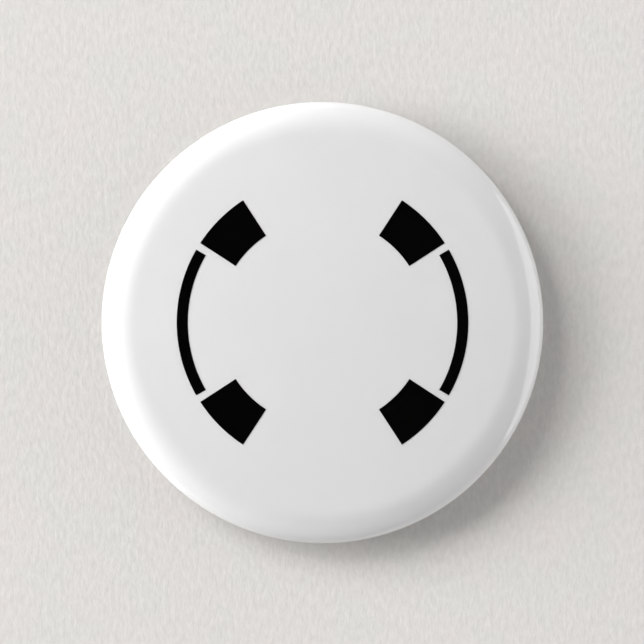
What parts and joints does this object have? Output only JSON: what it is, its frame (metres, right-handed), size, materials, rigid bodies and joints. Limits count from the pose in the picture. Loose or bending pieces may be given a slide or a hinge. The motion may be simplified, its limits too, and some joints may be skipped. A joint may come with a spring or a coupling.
{
  "type": "button badge",
  "caption": "Round domed button badge: printed paper under clear film crimped between a tinplate shell and back, with a spring wire pin across the back.",
  "frame": {"origin": "centre of the resting plane under the crimped rim, below the centre of the face", "axes": "+Z out of the face, +Y towards the top of the artwork, +X to the right as the face is seen"},
  "size_m": [0.0572, 0.0572, 0.0058],
  "materials": {
    "film": "clear gloss film",
    "paper": "coated white",
    "ink": "printed black",
    "shell_tinplate": "bright tinplate",
    "plate_tinplate": "bright tinplate, pressed",
    "wire": "nickel plated spring wire"
  },
  "bodies": {
    "badge": {"clear_film": "film", "artwork_sheet": "paper", "artwork_ink": "ink", "front_shell": "shell_tinplate", "back_plate": "plate_tinplate", "pin_spring": "wire"},
    "needle": {"pin_needle": "wire"}
  },
  "joints": [
    {"name": "needle_swing", "type": "hinge", "parent": "badge", "child": "needle", "pos_m": [0.017, 0.006, 0.00153], "axis": [0, -0.5736, 0.8192], "range_deg": [0, 28]}
  ]
}
